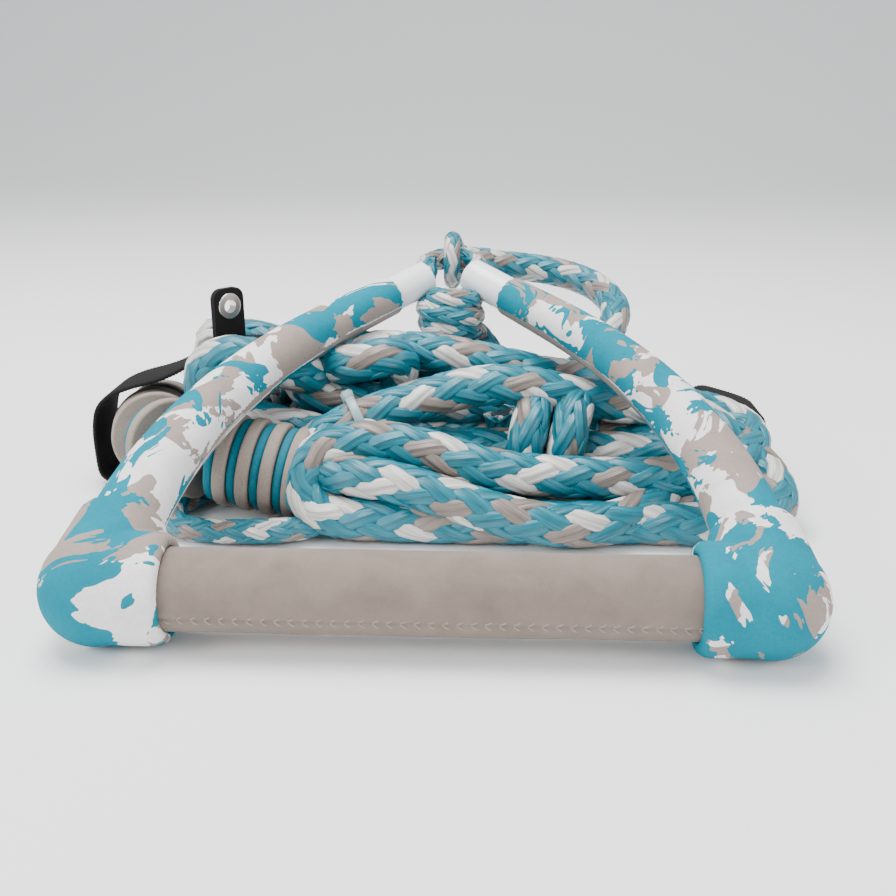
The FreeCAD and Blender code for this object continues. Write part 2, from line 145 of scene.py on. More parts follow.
class Tree:
    """A shader or geometry tree under construction."""

    def __init__(self, nodes):
        self.nodes, self.links = nodes.nodes, nodes.links

    def add(self, kind, settings=None, inputs=None, out=0):
        """Adds a node: first its settings, then its sockets' values or links. Returns one output."""
        node = self.nodes.new(kind)
        for name, setting in (settings or {}).items():
            setattr(node, name, setting)
        for name, value in (inputs or {}).items():
            if isinstance(value, Value):
                self.links.new(value.socket, node.inputs[name])
            else:
                node.inputs[name].default_value = value
        return Value(self, node.outputs[out])

    def attribute(self, name):
        return self.add("ShaderNodeAttribute", {"attribute_name": name}, out="Fac")

    def noise(self, scale, detail=2.0, roughness=0.5, distortion=0.0, vector=None):
        vector = vector or self.add("ShaderNodeTexCoord", out="Object")
        return self.add("ShaderNodeTexNoise", inputs={
            "Vector": vector, "Scale": scale, "Detail": detail, "Roughness": roughness,
            "Distortion": distortion}, out="Fac")

    def mix(self, factor, first, second, blend="MIX"):
        """One colour blended over another."""
        return self.add("ShaderNodeMix", {"data_type": "RGBA", "blend_type": blend},
                        {"Factor": factor, "A": first, "B": second}, out=2)

    def stretch(self, value, low, high, to_low, to_high):
        return self.add("ShaderNodeMapRange", inputs={
            "Value": value, "From Min": low, "From Max": high, "To Min": to_low, "To Max": to_high})

    def shade(self, colour, value, low, high):
        """A colour made darker and lighter by a value about 0.5."""
        amount = self.stretch(value, 0.3, 0.7, low, high)
        grey = self.add("ShaderNodeCombineColor", inputs={"Red": amount, "Green": amount, "Blue": amount})
        return self.mix(1.0, colour, grey, "MULTIPLY")

    def feed(self, colour=None, bump=None, depth=0.0005, strength=1.0, **others):
        """Feeds the material's Principled shader; bump is a height from 0 to 1."""
        shader = self.nodes["Principled BSDF"]
        if bump is not None:
            others["Normal"] = self.add("ShaderNodeBump", inputs={
                "Strength": strength, "Distance": depth, "Height": bump})
        if colour is not None:
            others["Base_Color"] = colour
        for name, value in others.items():
            self.links.new(value.socket, shader.inputs[name.replace("_", " ")])


def plain_material(name, **constants):
    """A material with a Principled shader whose constants are set."""
    material = bpy.data.materials.new(name)
    material.use_nodes = True
    shader = material.node_tree.nodes["Principled BSDF"]
    for socket, value in constants.items():
        shader.inputs[socket.replace("_", " ")].default_value = value
    return material


def new_material(name, **constants):
    """Such a material and its tree, to be worked on."""
    material = plain_material(name, **constants)
    return material, Tree(material.node_tree)


def finish_with(piece, material):
    piece.data.materials.clear()
    piece.data.materials.append(material)


finish_with(studio_floor, plain_material("pale_floor", Base_Color=(0.9, 0.9, 0.9, 1), Roughness=0.9))

# ---------------------------------------------------------------------------------------------
# The tow rope: a hollow braid of sixteen flat strands of two yarns each, most of them teal with
# some white and warm grey, plaited over two and under two. It is limp and folds tightly.
TEAL = (0.0, 0.2, 0.275, 1)
OFF_WHITE = (0.74, 0.72, 0.69, 1)
WARM_GREY = (0.27, 0.22, 0.19, 1)
# Near-black teal for the tube inside the hollow braid: painted shade where the gaps between strands look in.
CORE_PAINTED_SHADE = (0.0, 0.02, 0.028, 1)

braided_rope, tree = new_material("braided_rope", Specular_IOR_Level=0.6)
tone, across, along = (tree.attribute(name) for name in ("tone", "across", "along"))
colour = tree.mix(tone.above(0.5), TEAL, OFF_WHITE)
colour = tree.mix(tone.above(1.5), colour, WARM_GREY)
colour = tree.mix(tone.above(2.5), colour, CORE_PAINTED_SHADE)
fibre_place = tree.add("ShaderNodeCombineXYZ", inputs={
    "X": across * 24.0, "Y": along * 45.0, "Z": tone * 7.0})
fibres = tree.noise(1.0, 3.0, 0.65, vector=fibre_place)
groove = ((across - 0.5).math("ABSOLUTE") * 14.0).math("MINIMUM", 1.0)
# The colour is darkened down each strand's middle groove as painted shade; the groove also feeds the bump.
tree.feed(tree.shade(colour, fibres * 0.75 + groove * 0.13, 0.5, 1.15), fibres * 0.5 + groove * 0.8, 0.0007,
          Roughness=fibres * 0.35 + 0.18)


def braid_nodes():
    """Geometry Nodes that plait strands round a curve and lay a dark core inside them: painted shade for the
    hollow braid's inside.
    """
    group = bpy.data.node_groups.new("braid", "GeometryNodeTree")
    group.interface.new_socket("Geometry", in_out="INPUT", socket_type="NodeSocketGeometry")
    for name, kind, value in (("Radius", "Float", 0.01), ("Pitch", "Float", 0.14),
                              ("Step", "Float", 0.0034), ("Strands", "Int", 8)):
        socket = group.interface.new_socket(name, in_out="INPUT", socket_type=f"NodeSocket{kind}")
        socket.default_value = value
    group.interface.new_socket("Geometry", in_out="OUTPUT", socket_type="NodeSocketGeometry")
    tree = Tree(group)
    entry = group.nodes.new("NodeGroupInput")
    given = {socket.name: Value(tree, socket) for socket in entry.outputs if socket.name}
    radius, strands = given["Radius"], given["Strands"]
    thick, lift, width = radius * 0.29, radius * 0.085, radius * (2 * pi * 1.03) / strands
    curve = tree.add("GeometryNodeResampleCurve", {"mode": "LENGTH"},
                     {"Curve": given["Geometry"], "Length": given["Step"]})
    both_ways = tree.add("GeometryNodeDuplicateElements", {"domain": "SPLINE"},
                         {"Geometry": curve, "Amount": strands * 2})
    index = Value(tree, both_ways.socket.node.outputs["Duplicate Index"])
    length = tree.add("GeometryNodeSplineParameter", out="Length")
    way = 1.0 - index.above(strands - 0.5) * 2.0
    angle = way * length * (2 * pi) / given["Pitch"] + index * (2 * pi) / strands
    crossing = ((angle * strands - pi / 2) * 0.5).math("COSINE")
    weave = (crossing * 1.8).math("MINIMUM", 1.0).math("MAXIMUM", -1.0) * way * lift

    def vectors(operation, first, second):
        return tree.add("ShaderNodeVectorMath", {"operation": operation}, {0: first, 1: second})

    def scaled(vector, scale):
        return tree.add("ShaderNodeVectorMath", {"operation": "SCALE"}, {0: vector, "Scale": scale})

    def stored(geometry, name, value, kind="FLOAT"):
        return tree.add("GeometryNodeStoreNamedAttribute", {"data_type": kind, "domain": "POINT"},
                        {"Geometry": geometry, "Name": name, "Value": value})

    normal = tree.add("GeometryNodeInputNormal")
    side = vectors("CROSS_PRODUCT", tree.add("GeometryNodeInputTangent"), normal)
    outward = vectors("ADD", scaled(normal, angle.math("COSINE")), scaled(side, angle.math("SINE")))
    fifth = index.math("MODULO", 5.0)
    white = 1.0 - (fifth - 1.0).math("ABSOLUTE").math("MINIMUM", 1.0)
    grey = 1.0 - (fifth - 3.0).math("ABSOLUTE").math("MINIMUM", 1.0)
    plait = stored(both_ways, "outward", outward, "FLOAT_VECTOR")
    plait = stored(plait, "tone", white + grey * 2.0)
    plait = stored(plait, "along", length + index * 0.37)
    plait = tree.add("GeometryNodeSetPosition", inputs={
        "Geometry": plait, "Offset": scaled(outward, radius - thick * 0.5 - lift + weave)})
    facing = tree.add("GeometryNodeInputNamedAttribute", {"data_type": "FLOAT_VECTOR"}, {"Name": "outward"})
    plait = tree.add("GeometryNodeSetCurveNormal", {"mode": "FREE"}, {"Curve": plait, "Normal": facing})
    ring = tree.add("GeometryNodeCurvePrimitiveCircle", inputs={"Resolution": 8, "Radius": 0.5})
    ring = stored(ring, "across", tree.add("GeometryNodeSplineParameter", out="Factor"))
    flat = tree.add("ShaderNodeCombineXYZ", inputs={"X": thick * -1.0, "Y": width, "Z": 1.0})
    ring = tree.add("GeometryNodeTransform", inputs={"Geometry": ring, "Scale": flat})
    plait = tree.add("GeometryNodeCurveToMesh", inputs={"Curve": plait, "Profile Curve": ring,
                                                        "Fill Caps": True})
    # A dark tube inside the strands, coloured with painted shade for the braid's hollow.
    inner = tree.add("GeometryNodeCurvePrimitiveCircle", inputs={"Resolution": 10,
                                                                 "Radius": radius - thick - lift})
    core = tree.add("GeometryNodeCurveToMesh", inputs={"Curve": curve, "Profile Curve": inner,
                                                       "Fill Caps": True})
    core = stored(core, "tone", 3.0)
    joined = group.nodes.new("GeometryNodeJoinGeometry")
    for part in (core, plait):
        group.links.new(part.socket, joined.inputs[0])
    smooth = tree.add("GeometryNodeSetShadeSmooth", inputs={"Geometry": Value(tree, joined.outputs[0])})
    real = tree.add("GeometryNodeRealizeInstances", inputs={"Geometry": smooth})
    last = tree.add("GeometryNodeSetMaterial", inputs={"Geometry": real, "Material": braided_rope})
    group.links.new(last.socket, group.nodes.new("NodeGroupOutput").inputs[0])
    return group


braid = braid_nodes()


def route_of(name, points, cyclic=False):
    """A smooth curve whose control points are given places."""
    curve = bpy.data.curves.new(name, "CURVE")
    curve.dimensions = "3D"
    curve.resolution_u = 10
    spline = curve.splines.new("NURBS")
    spline.points.add(len(points) - 1)
    for control, point in zip(spline.points, points):
        control.co = (*place(*point), 1)
    spline.order_u = 3
    spline.use_endpoint_u = not cyclic
    spline.use_cyclic_u = cyclic
    route = linked(name + "_route", curve)
    bpy.context.view_layer.update()
    return route


def evaluated_mesh(thing):
    return bpy.data.meshes.new_from_object(thing.evaluated_get(bpy.context.evaluated_depsgraph_get()))


def shaped(source, name):
    """The shape that an object's modifiers give, as a piece of its own; the source is removed."""
    bpy.context.view_layer.update()
    piece = linked(name, evaluated_mesh(source))
    bpy.data.objects.remove(source)
    return piece


def set_inputs(modifier, **values):
    """Sets a Geometry Nodes modifier's inputs by the identifiers of their sockets."""
    for socket in modifier.node_group.interface.items_tree:
        if socket.in_out == "INPUT" and socket.name in values:
            modifier[socket.identifier] = values[socket.name]


def lay_rope(name, points, diameter, pitch=6.8, step=0.0036, strands=8, cyclic=False):
    """A braided rope along given points: the piece and the line that it follows."""
    route = route_of(name, points, cyclic)
    line = [v.co.copy() for v in evaluated_mesh(route).vertices]
    modifier = route.modifiers.new("braid", "NODES")
    modifier.node_group = braid
    set_inputs(modifier, Radius=diameter / 2, Pitch=pitch * diameter, Step=step, Strands=strands)
    return shaped(route, name), line


def declare_rope(piece, line, diameter, *stands_for, body="rope_bundle", with_pieces=(), lay="loose"):
    """Attaches a rope to its body and hides the CAD solids that it stands for."""
    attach(piece, body)
    if stands_for:
        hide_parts(*stands_for)


# ---------------------------------------------------------------------------------------------
# The lead runs from the eye at the handle out over the right arm and down to the bundle. The
# rope is spliced to itself where it closes the eye, which makes it thicker there.
EYE_POINTS = (
    (16, 253, 106.5), (8, 252, 106.5), (2.5, 248, 105.6), (0.6, 243, 102), (0, 234, 101),
    (0, 226, 105), (0, 223, 113), (0, 226.4, 122), (0, 235.3, 125.4), (0.6, 244, 122.5),
    (2.5, 248.5, 117), (8, 252, 112.8), (16, 253.4, 110.5))
LEAD_POINTS = (
    (18, 254, 108), (48, 264, 105), (80, 252, 99), (94, 224, 90), (88, 202, 80), (76, 192, 64),
    (66, 186, 50))
eye, eye_line = lay_rope("rope_eye_braid", EYE_POINTS, 0.0092, step=0.0022, strands=6)
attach(eye, "rope_bundle")
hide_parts("rope_eye")
SPLICE_POINTS = ((1.5, 248.6, 109.8), (10, 251.4, 109), (20, 254.6, 107.8))
splice, splice_line = lay_rope("rope_splice_braid", SPLICE_POINTS, 0.0188, step=0.0022)
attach(splice, "rope_bundle")
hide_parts("rope_splice")
lead, lead_line = lay_rope("rope_lead_braid", LEAD_POINTS, 0.0168, step=0.003)
declare_rope(lead, lead_line, 0.0168, "rope_lead", with_pieces=(eye, splice))

# ---------------------------------------------------------------------------------------------
# The bundled turns: the same braid, wound by hand and held by the straps and the tie. The front
# turns lie one on another; those behind and under them run from end to end and fold back.
BUNDLE_ROPE = 0.021              # with its strands loose, as the bundled turns show
FRONT_POINTS = (
    (60, 200, 46), (78, 200, 66), (98, 190, 68), (124, 170, 48), (150, 150, 34), (166, 128, 20),
    (160, 106, 12), (132, 98, 11), (96, 101, 11), (56, 99, 11), (16, 97, 11), (-22, 98, 11),
    (-58, 98, 12), (-70, 104, 26), (-60, 112, 42), (-34, 116, 46), (-6, 112, 42), (24, 108, 33),
    (60, 112, 29), (98, 116, 27), (130, 122, 29), (156, 142, 32), (158, 168, 38), (132, 176, 46),
    (98, 162, 50), (64, 152, 58), (36, 148, 66), (10, 146, 64), (-18, 141, 57), (-44, 134, 50),
    (-66, 126, 40), (-64, 112, 30), (-44, 104, 32), (-22, 100, 30), (4, 96, 23), (34, 92, 15),
    (66, 92, 11), (98, 102, 14), (112, 128, 22))
front, front_line = lay_rope("rope_front_turns", FRONT_POINTS, BUNDLE_ROPE)
declare_rope(front, front_line, BUNDLE_ROPE, "rope_hank")

CORE_POINTS = (
    (-44, 120, 11), (0, 122, 11), (60, 118, 11), (120, 122, 11), (152, 132, 11), (146, 145, 12),
    (110, 141, 11), (50, 143, 11), (-20, 140, 11), (-48, 146, 11), (-50, 160, 11), (-20, 164, 11),
    (50, 161, 11), (120, 166, 11), (156, 172, 11), (150, 184, 13), (110, 184, 11), (50, 186, 11),
    (-20, 183, 11), (-46, 190, 11), (-46, 206, 11), (-10, 208, 11), (50, 205, 11), (120, 207, 11),
    (164, 206, 12), (170, 212, 22), (158, 220, 29), (134, 224, 20), (120, 229, 11), (90, 230, 11),
    (30, 228, 11), (-30, 230, 11), (-50, 226, 22), (-44, 214, 33), (0, 216, 32), (60, 213, 32),
    (110, 210, 31), (142, 200, 29), (134, 190, 30), (90, 192, 32), (30, 190, 31), (-30, 193, 32),
    (-50, 182, 33), (-40, 170, 32), (10, 172, 31), (70, 169, 32), (116, 164, 30), (132, 152, 28),
    (110, 146, 30), (50, 148, 31), (-10, 146, 32), (-40, 138, 32))
core, core_line = lay_rope("rope_core_turns", CORE_POINTS, BUNDLE_ROPE, step=0.0048)
declare_rope(core, core_line, BUNDLE_ROPE)

TOP_POINTS = (
    (112, 184, 44), (70, 172, 44), (20, 174, 44), (-30, 172, 46), (-56, 178, 50), (-50, 192, 50),
    (-10, 194, 49), (40, 192, 50), (90, 196, 44), (112, 208, 40), (100, 222, 42), (50, 216, 46),
    (0, 214, 48), (-40, 216, 48), (-62, 206, 58), (-54, 192, 68), (-24, 186, 68), (8, 200, 62),
    (34, 204, 58), (58, 196, 54), (84, 206, 54), (86, 192, 62), (62, 182, 58), (34, 176, 66),
    (6, 178, 72), (-22, 182, 74), (-50, 182, 74), (-66, 174, 70), (-52, 162, 70), (-34, 158, 76),
    (-24, 166, 74), (-26, 176, 60), (-28, 178, 48))
top, top_line = lay_rope("rope_top_turns", TOP_POINTS, BUNDLE_ROPE)
declare_rope(top, top_line, BUNDLE_ROPE)

WRAP_POINTS = [(30 + 1.7 * k, 148 + 17 * cos(pi / 6 * k), 38 - 17 * sin(pi / 6 * k)) for k in range(-1, 26)]
wrap, wrap_line = lay_rope("rope_wrap_turns", WRAP_POINTS, 0.0195)
declare_rope(wrap, wrap_line, 0.0195)

LEFT_POINTS = (
    (4, 214, 46), (-34, 222, 42), (-62, 238, 34), (-88, 241, 34), (-112, 228, 46), (-136, 212, 64),
    (-134, 208, 76), (-112, 210, 74), (-84, 206, 66), (-62, 184, 62), (-70, 164, 64),
    (-88, 152, 72), (-106, 150, 80), (-124, 150, 74), (-126, 151, 56), (-108, 150, 46),
    (-84, 146, 42), (-62, 150, 36), (-34, 148, 32))
left, left_line = lay_rope("rope_left_turns", LEFT_POINTS, BUNDLE_ROPE)
declare_rope(left, left_line, BUNDLE_ROPE, "rope_hank_left")

LEFT_CORE_POINTS = (
    (-34, 230, 12), (-60, 240, 11), (-75, 232, 11), (-76, 200, 11), (-76, 168, 11), (-82, 147, 12),
    (-98, 147, 12), (-104, 166, 11), (-104, 200, 11), (-102, 230, 11), (-94, 242, 22),
    (-82, 236, 33), (-80, 206, 34), (-80, 170, 34), (-86, 154, 34), (-100, 154, 34),
    (-106, 172, 34), (-106, 204, 33), (-100, 230, 38), (-86, 230, 50), (-82, 204, 56),
    (-80, 178, 56), (-68, 164, 52), (-44, 168, 48))
left_core, left_core_line = lay_rope("rope_left_core", LEFT_CORE_POINTS, BUNDLE_ROPE, step=0.0045)
declare_rope(left_core, left_core_line, BUNDLE_ROPE)

# ---------------------------------------------------------------------------------------------
# The hitch under the apex: three round turns of a thinner rope, drawn up against the handle. Both
# its ends run down into the bundle.
HITCH_POINTS = (
    (30, 200, 56), (24, 209, 66), (16, 213, 76), (12, 204, 80), (8, 197, 81), (0, 194, 82),
    (-9, 197, 83), (-13, 206, 84), (-10, 215, 85), (1, 218, 86), (11, 215, 87), (14, 206, 88),
    (10, 197, 89), (1, 193, 90), (-10, 197, 91), (-14, 206, 92), (-10, 215, 93), (1, 218, 94),
    (11, 214, 95), (12, 206, 96), (8, 198, 97), (0, 196, 98), (-7, 200, 98), (-8, 207, 97),
    (-3, 210, 94), (0, 206, 84), (-2, 203, 72), (-6, 198, 60))
hitch, hitch_line = lay_rope("rope_hitch", HITCH_POINTS, 0.0125, step=0.0026)
declare_rope(hitch, hitch_line, 0.0125, "rope_knot", lay="coiled")

# ---------------------------------------------------------------------------------------------
# The float rope carries discs punched from grey and teal foam sheet, from the bundle round to its
# back. The rope under it leaves the bundle at the front left and runs back along the ground.
FLOAT_POINTS = (
    (-63.7, 120, 24.4), (-127, 127, 34.6), (-150, 146, 34), (-165, 190, 26), (-160, 220, 26),
    (-143, 239, 20), (-121.5, 243, 14), (-92, 238, 8), (-60, 226, 8), (-36, 222, 11))
UNDER_POINTS = (
    (-30, 118, 9), (-52, 108, 8), (-68, 92, 8), (-95, 90, 7), (-126, 94, 6.2), (-138, 114, 6.2),
    (-130, 136, 6.2), (-115, 157.4, 7.4))
float_rope, float_line = lay_rope("float_rope_braid", FLOAT_POINTS, 0.013, step=0.003)
discs = [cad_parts[f"float_{n:02d}_{shade}"] for n in range(1, 11) for shade in ("grey", "teal")]
declare_rope(float_rope, float_line, 0.013, "float_rope", with_pieces=discs)
under, under_line = lay_rope("rope_under_braid", UNDER_POINTS, 0.0122, step=0.003)
declare_rope(under, under_line, 0.0122, "rope_under")

for shade, base in (("grey", (0.29, 0.24, 0.205, 1)), ("teal", (0.0, 0.15, 0.21, 1))):
    cut_foam, tree = new_material(f"float_{shade}", Roughness=0.8, Specular_IOR_Level=0.3)
    cells = tree.noise(900.0, 2.0, 0.6)
    tree.feed(tree.shade(base, cells * 0.6 + tree.noise(45.0) * 0.4, 0.8, 1.15), cells, 0.0002, 0.6)
    for node in discs:
        if node.name.endswith(shade):
            finish_with(node, cut_foam)

# ---------------------------------------------------------------------------------------------
# The handle's own rope runs in one loop through the bar, the caps and the arms, and shows where
# it crosses from tube to tube at the apex. The points lie in the handle's plane, tilted back.
HANDLE_TILT = radians(21)


def on_handle(x, s, up=0.0):
    """A point of the handle's plane, s millimetres along it from the grip's axis."""
    y = s * cos(HANDLE_TILT) - up * sin(HANDLE_TILT)
    return x, y, AXIS_HEIGHT + s * sin(HANDLE_TILT) + up * cos(HANDLE_TILT)


ONE_SIDE = (
    (40, 0), (105, 0), (130, 0), (130, 30), (130, 63.7), (92.7, 153.8), (58, 188.5), (22, 224.5),
    (12.5, 235), (16, 246), (8, 253.5))
LOOP = [on_handle(x, s) for x, s in ONE_SIDE] + [on_handle(-x, s) for x, s in reversed(ONE_SIDE)]
bridle, bridle_line = lay_rope("bridle_rope_braid", LOOP, 0.0122, step=0.0042, cyclic=True)
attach(bridle, "handle")
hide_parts("bridle_rope")

# ---------------------------------------------------------------------------------------------
# End caps and arm sleeves: moulded foam in three colours, mixed in the mould into hard-edged
# patches. The caps are slipped over the arms, and a glued seam runs along each arm's inner side.
FOAM_TEAL = (0.0, 0.2, 0.275, 1)
FOAM_GREY = (0.31, 0.255, 0.225, 1)
FOAM_WHITE = (0.78, 0.77, 0.76, 1)
camo_foam, tree = new_material("camo_foam", Roughness=0.8, Specular_IOR_Level=0.1)
seam = tree.attribute("seam")
spot = tree.add("ShaderNodeTexCoord", out="Object")
streak = tree.add("ShaderNodeAttribute", {"attribute_name": "streak"}, out="Vector")
spot = tree.mix(seam.above(0.5), spot, streak)
patches = tree.noise(29.0, 4.0, 0.55, 0.9, spot)
moved = tree.add("ShaderNodeVectorMath", {"operation": "ADD"}, {0: spot, 1: (3.1, 1.7, 5.3)})
islands = tree.noise(27.0, 4.0, 0.58, 1.1, moved)
colour = tree.mix(patches.above(0.485), FOAM_WHITE, FOAM_GREY)
colour = tree.mix(islands.above(0.515), colour, FOAM_TEAL)
grain = tree.noise(700.0, 3.0, 0.6)
dents = tree.noise(85.0, 2.0, 0.5)
tree.feed(tree.shade(colour, grain * 0.5 + dents * 0.5, 0.86, 1.1), grain * 0.35 + dents, 0.0006, 0.5)


def softened(name, voxel, smoothing):
    """A copy of a CAD piece with its edges softened as moulded foam's are."""
    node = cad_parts[name]
    work = bmesh.new()
    work.from_mesh(node.data)
    bmesh.ops.remove_doubles(work, verts=work.verts, dist=0.00002)
    mesh = bpy.data.meshes.new(name + "_foam")
    work.to_mesh(mesh)
    work.free()
    source = linked(name + "_source", mesh)
    remesh = source.modifiers.new("remesh", "REMESH")
    remesh.mode, remesh.voxel_size, remesh.use_smooth_shade = "VOXEL", voxel, True
    smooth = source.modifiers.new("smooth", "SMOOTH")
    smooth.factor, smooth.iterations = 0.5, smoothing
    piece = shaped(source, name + "_foam")
    piece.data.shade_smooth()
    finish_with(piece, camo_foam)
    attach(piece, "handle")
    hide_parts(name)
    return piece


CAP_X, CAP_WALK, ARM_CURVE, ARM_TURN = 130, 15, 245, pi / 4
TIP_X, TIP_S, TIP_RUN = 58.2, 188.2, 46          # where the arm's straight end starts, and its run
BEND_STEPS = 24
ARM_LINE = {side: [place(*on_handle(side * (CAP_X - ARM_CURVE * (1 - cos(t))), CAP_WALK + ARM_CURVE * sin(t)))
                   for t in (ARM_TURN * i / BEND_STEPS for i in range(BEND_STEPS + 1))] +
            [place(*on_handle(side * (TIP_X - TIP_RUN * u), TIP_S + TIP_RUN * u))
             for u in (0.25, 0.5, 0.75, 1)]
            for side in (-1, 1)}
BAND_FROM, BAND_TO, BAND_WAVER = -0.95, -0.1, 0.12   # turns about the arm from its inner side
PLANE_UP = Vector((0, -sin(HANDLE_TILT), cos(HANDLE_TILT)))


def mark_seam(piece, side):
    """Stores the band along an arm's inner, lower side where the foam's colours run into streaks."""
    line = ARM_LINE[side]
    seam, streak = [], []
    for vertex in piece.data.vertices:
        nearest = min(range(len(line)), key=lambda i: (line[i] - vertex.co).length_squared)
        ahead = (line[min(nearest + 1, len(line) - 1)] - line[max(nearest - 1, 0)]).normalized()
        out = vertex.co - line[nearest]
        out = (out - ahead * out.dot(ahead)).normalized()
        inward = PLANE_UP.cross(ahead) * side
        turn = atan2(out.dot(PLANE_UP), out.dot(inward))
        edge = BAND_TO + BAND_WAVER * noise.noise(vertex.co * 60)
        seam.append(1.0 if BAND_FROM < turn < edge else 0.0)
        streak += [nearest * 0.0016, turn * 0.03, side * 0.7]
    piece.data.attributes.new("seam", "FLOAT", "POINT").data.foreach_set("value", seam)
    piece.data.attributes.new("streak", "FLOAT_VECTOR", "POINT").data.foreach_set("vector", streak)


for side, name in ((-1, "left"), (1, "right")):
    softened(f"end_cap_{name}", 0.0011, 6)
    mark_seam(softened(f"arm_sleeve_{name}", 0.0010, 3), side)

# ---------------------------------------------------------------------------------------------
# The tubes at the arms' tips: glossy white plastic with rounded mouths, pushed into the foam. The
# right one stands a little further out, close to the eye.
white_tube = plain_material("white_tube", Base_Color=(0.86, 0.86, 0.87, 1), Roughness=0.16)
finish_with(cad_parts["tube_left"], white_tube)
right_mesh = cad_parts["tube_right"].data.copy()
mouth, ahead = ARM_LINE[1][-1], (ARM_LINE[1][-1] - ARM_LINE[1][-2]).normalized()
TUBE_FURTHER = 0.004
for vertex in right_mesh.vertices:
    if (vertex.co - mouth).dot(ahead) > -TUBE_FURTHER:
        vertex.co += ahead * TUBE_FURTHER
right_tube = linked("tube_right_white", right_mesh)
finish_with(right_tube, white_tube)
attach(right_tube, "handle")
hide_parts("tube_right")

# ---------------------------------------------------------------------------------------------
# The grip: a suede cover sewn round foam on an aluminium bar. Its edges meet in a seam low on the
# front, drawn together with slanted stitches on both sides.
SUEDE = (0.215, 0.172, 0.145, 1)
suede, tree = new_material("suede", Roughness=0.95, Sheen_Weight=0.12, Sheen_Roughness=0.5,
                           Specular_IOR_Level=0.12)
nap = tree.noise(1400.0, 3.0, 0.7)
mottle = tree.noise(55.0, 4.0, 0.62, 0.4)
tree.feed(tree.shade(SUEDE, mottle * 0.7 + nap * 0.3, 0.82, 1.16), nap, 0.00025, 0.7)

SEAM_TURN = radians(-18.5)       # from straight ahead, towards the ground
COVER_RADIUS, COVER_WALL, COVER_HALF = 16.5, 1.0, 110.5
GROOVE_DEPTH, GROOVE_WIDTH = 0.7, 0.9
PUCKER_RISE, PUCKER_AT, PUCKER_WIDTH = 0.25, 2.6, 1.2    # the hem beside the seam
WAVE = 0.22
STEPS_LONG, STEPS_ROUND = 150, 120


def cover_point(x, turn, depth=0.0):
    """A point of the cover's outside, with its waves and the groove of its seam."""
    off_seam = ((turn - SEAM_TURN + pi) % (2 * pi) - pi) * COVER_RADIUS
    groove = GROOVE_DEPTH * exp(-(off_seam / GROOVE_WIDTH) ** 2)
    pucker = PUCKER_RISE * exp(-((abs(off_seam) - PUCKER_AT) / PUCKER_WIDTH) ** 2)
    wave = WAVE * noise.noise(Vector((x * 0.03, 3 * cos(turn), 3 * sin(turn))))
    radius = COVER_RADIUS - depth - (0 if depth else groove - pucker - wave)
    return place(x, -radius * cos(turn), AXIS_HEIGHT + radius * sin(turn))


cover_points = [cover_point(-COVER_HALF + 2 * COVER_HALF * i / STEPS_LONG, 2 * pi * j / STEPS_ROUND)
                for i in range(STEPS_LONG + 1) for j in range(STEPS_ROUND)]
cover_points += [cover_point(end * COVER_HALF, 2 * pi * j / STEPS_ROUND, COVER_WALL)
                 for end in (1, -1) for j in range(STEPS_ROUND)]
rows = STEPS_LONG + 3
cover_faces = [(i * STEPS_ROUND + j, i * STEPS_ROUND + (j + 1) % STEPS_ROUND,
                (i + 1) % rows * STEPS_ROUND + (j + 1) % STEPS_ROUND, (i + 1) % rows * STEPS_ROUND + j)
               for i in range(rows) for j in range(STEPS_ROUND)]
cover_mesh = bpy.data.meshes.new("grip_suede")
cover_mesh.from_pydata(cover_points, [], cover_faces)
cover_mesh.shade_smooth()
cover = linked("grip_suede", cover_mesh)
finish_with(cover, suede)
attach(cover, "handle")
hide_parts("grip_cover")

thread = plain_material("thread", Base_Color=(0.3, 0.25, 0.21, 1), Roughness=0.7)


STITCH_SUNK, STITCH_ARCH, FEET_APART = -0.0009, 0.0012, 0.0003


